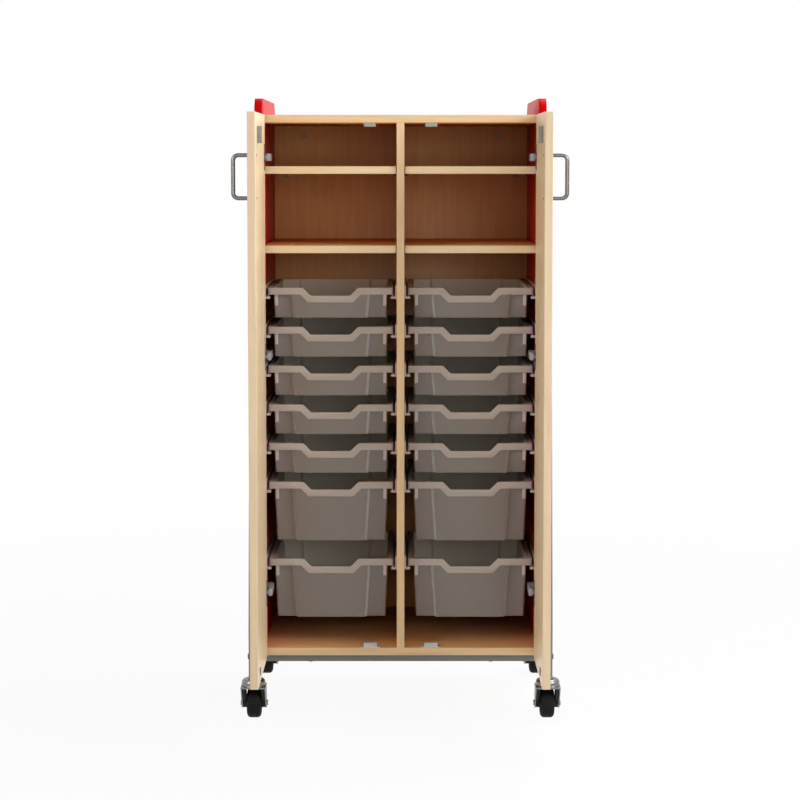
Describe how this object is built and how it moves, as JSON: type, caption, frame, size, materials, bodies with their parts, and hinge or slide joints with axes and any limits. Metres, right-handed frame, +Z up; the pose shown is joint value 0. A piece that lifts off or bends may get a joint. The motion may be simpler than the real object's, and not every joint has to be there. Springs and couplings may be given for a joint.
{
  "type": "tote tray cart",
  "caption": "Tall mobile storage cabinet on swivel casters with two hinged doors, open shelves and sliding tote trays in two bays.",
  "frame": {"origin": "on the floor under the middle of the carcass", "axes": "+Z up, front towards -Y, +X to the right seen from the front"},
  "size_m": [0.8116, 0.936, 1.562],
  "materials": {
    "red_board": "satin laminate",
    "maple_board": "satin laminate",
    "platinum_steel": "powder coat",
    "zinc_steel": "zinc plate",
    "satin_wire": "satin",
    "catch_plastic": "matte",
    "runner_plastic": "translucent",
    "tray_plastic": "translucent",
    "fork_steel": "zinc plate",
    "wheel_plastic": "matte",
    "tyre_rubber": "matte"
  },
  "bodies": {
    "carcass": {"left_side_panel": "red_board", "right_side_panel": "red_board", "top_panel": "maple_board", "bottom_panel": "maple_board", "back_panel": "maple_board", "centre_divider": "maple_board", "upper_shelves": "maple_board", "lower_shelves": "maple_board", "left_frame": "platinum_steel", "right_frame": "platinum_steel", "front_rail": "platinum_steel", "rear_rail": "platinum_steel", "frame_bolts": "zinc_steel", "shelf_pins": "zinc_steel", "caster_stems": "zinc_steel", "left_hinge_arms": "zinc_steel", "right_hinge_arms": "zinc_steel", "top_catches": "catch_plastic", "bottom_catches": "catch_plastic", "left_bay_runners": "runner_plastic", "right_bay_runners": "runner_plastic"},
    "left_door": {"left_door": "maple_board", "left_handle": "satin_wire", "left_hinge_cups": "zinc_steel", "left_strikes": "zinc_steel"},
    "right_door": {"right_door": "maple_board", "right_handle": "satin_wire", "right_hinge_cups": "zinc_steel", "right_strikes": "zinc_steel"},
    "left_tray_1": {"left_tray_1": "tray_plastic"},
    "left_tray_2": {"left_tray_2": "tray_plastic"},
    "left_tray_3": {"left_tray_3": "tray_plastic"},
    "left_tray_4": {"left_tray_4": "tray_plastic"},
    "left_tray_5": {"left_tray_5": "tray_plastic"},
    "left_tray_6": {"left_tray_6": "tray_plastic"},
    "left_tray_7": {"left_tray_7": "tray_plastic"},
    "right_tray_1": {"right_tray_1": "tray_plastic"},
    "right_tray_2": {"right_tray_2": "tray_plastic"},
    "right_tray_3": {"right_tray_3": "tray_plastic"},
    "right_tray_4": {"right_tray_4": "tray_plastic"},
    "right_tray_5": {"right_tray_5": "tray_plastic"},
    "right_tray_6": {"right_tray_6": "tray_plastic"},
    "right_tray_7": {"right_tray_7": "tray_plastic"},
    "swivel_front_left": {"fork_front_left": "fork_steel", "axle_front_left": "fork_steel"},
    "wheel_front_left": {"wheel_front_left": "wheel_plastic", "tyre_front_left": "tyre_rubber"},
    "swivel_front_right": {"fork_front_right": "fork_steel", "axle_front_right": "fork_steel"},
    "wheel_front_right": {"wheel_front_right": "wheel_plastic", "tyre_front_right": "tyre_rubber"},
    "swivel_rear_left": {"fork_rear_left": "fork_steel", "axle_rear_left": "fork_steel"},
    "wheel_rear_left": {"wheel_rear_left": "wheel_plastic", "tyre_rear_left": "tyre_rubber"},
    "swivel_rear_right": {"fork_rear_right": "fork_steel", "axle_rear_right": "fork_steel"},
    "wheel_rear_right": {"wheel_rear_right": "wheel_plastic", "tyre_rear_right": "tyre_rubber"}
  },
  "joints": [
    {"name": "left_door_swing", "type": "hinge", "parent": "carcass", "child": "left_door", "pos_m": [-0.344, -0.286, 0.85], "axis": [0, 0, -1], "range_deg": [-90, 20]},
    {"name": "right_door_swing", "type": "hinge", "parent": "carcass", "child": "right_door", "pos_m": [0.344, -0.286, 0.85], "axis": [0, 0, 1], "range_deg": [-90, 20]},
    {"name": "left_tray_1_slide", "type": "slide", "parent": "carcass", "child": "left_tray_1", "axis": [0, -1, 0], "range_m": [0, 0.3]},
    {"name": "left_tray_2_slide", "type": "slide", "parent": "carcass", "child": "left_tray_2", "axis": [0, -1, 0], "range_m": [0, 0.3]},
    {"name": "left_tray_3_slide", "type": "slide", "parent": "carcass", "child": "left_tray_3", "axis": [0, -1, 0], "range_m": [0, 0.3]},
    {"name": "left_tray_4_slide", "type": "slide", "parent": "carcass", "child": "left_tray_4", "axis": [0, -1, 0], "range_m": [0, 0.3]},
    {"name": "left_tray_5_slide", "type": "slide", "parent": "carcass", "child": "left_tray_5", "axis": [0, -1, 0], "range_m": [0, 0.3]},
    {"name": "left_tray_6_slide", "type": "slide", "parent": "carcass", "child": "left_tray_6", "axis": [0, -1, 0], "range_m": [0, 0.3]},
    {"name": "left_tray_7_slide", "type": "slide", "parent": "carcass", "child": "left_tray_7", "axis": [0, -1, 0], "range_m": [0, 0.3]},
    {"name": "right_tray_1_slide", "type": "slide", "parent": "carcass", "child": "right_tray_1", "axis": [0, -1, 0], "range_m": [0, 0.3]},
    {"name": "right_tray_2_slide", "type": "slide", "parent": "carcass", "child": "right_tray_2", "axis": [0, -1, 0], "range_m": [0, 0.3]},
    {"name": "right_tray_3_slide", "type": "slide", "parent": "carcass", "child": "right_tray_3", "axis": [0, -1, 0], "range_m": [0, 0.3]},
    {"name": "right_tray_4_slide", "type": "slide", "parent": "carcass", "child": "right_tray_4", "axis": [0, -1, 0], "range_m": [0, 0.3]},
    {"name": "right_tray_5_slide", "type": "slide", "parent": "carcass", "child": "right_tray_5", "axis": [0, -1, 0], "range_m": [0, 0.3]},
    {"name": "right_tray_6_slide", "type": "slide", "parent": "carcass", "child": "right_tray_6", "axis": [0, -1, 0], "range_m": [0, 0.3]},
    {"name": "right_tray_7_slide", "type": "slide", "parent": "carcass", "child": "right_tray_7", "axis": [0, -1, 0], "range_m": [0, 0.3]},
    {"name": "front_left_swivel", "type": "hinge", "parent": "carcass", "child": "swivel_front_left", "pos_m": [-0.37125, -0.245, 0.095], "axis": [0, 0, 1], "continuous": true},
    {"name": "front_left_roll", "type": "hinge", "parent": "swivel_front_left", "child": "wheel_front_left", "pos_m": [-0.37125, -0.22, 0.0375], "axis": [1, 0, 0], "continuous": true},
    {"name": "front_right_swivel", "type": "hinge", "parent": "carcass", "child": "swivel_front_right", "pos_m": [0.37125, -0.245, 0.095], "axis": [0, 0, 1], "continuous": true},
    {"name": "front_right_roll", "type": "hinge", "parent": "swivel_front_right", "child": "wheel_front_right", "pos_m": [0.37125, -0.22, 0.0375], "axis": [1, 0, 0], "continuous": true},
    {"name": "rear_left_swivel", "type": "hinge", "parent": "carcass", "child": "swivel_rear_left", "pos_m": [-0.37125, 0.245, 0.095], "axis": [0, 0, 1], "continuous": true},
    {"name": "rear_left_roll", "type": "hinge", "parent": "swivel_rear_left", "child": "wheel_rear_left", "pos_m": [-0.37125, 0.27, 0.0375], "axis": [1, 0, 0], "continuous": true},
    {"name": "rear_right_swivel", "type": "hinge", "parent": "carcass", "child": "swivel_rear_right", "pos_m": [0.37125, 0.245, 0.095], "axis": [0, 0, 1], "continuous": true},
    {"name": "rear_right_roll", "type": "hinge", "parent": "swivel_rear_right", "child": "wheel_rear_right", "pos_m": [0.37125, 0.27, 0.0375], "axis": [1, 0, 0], "continuous": true}
  ]
}
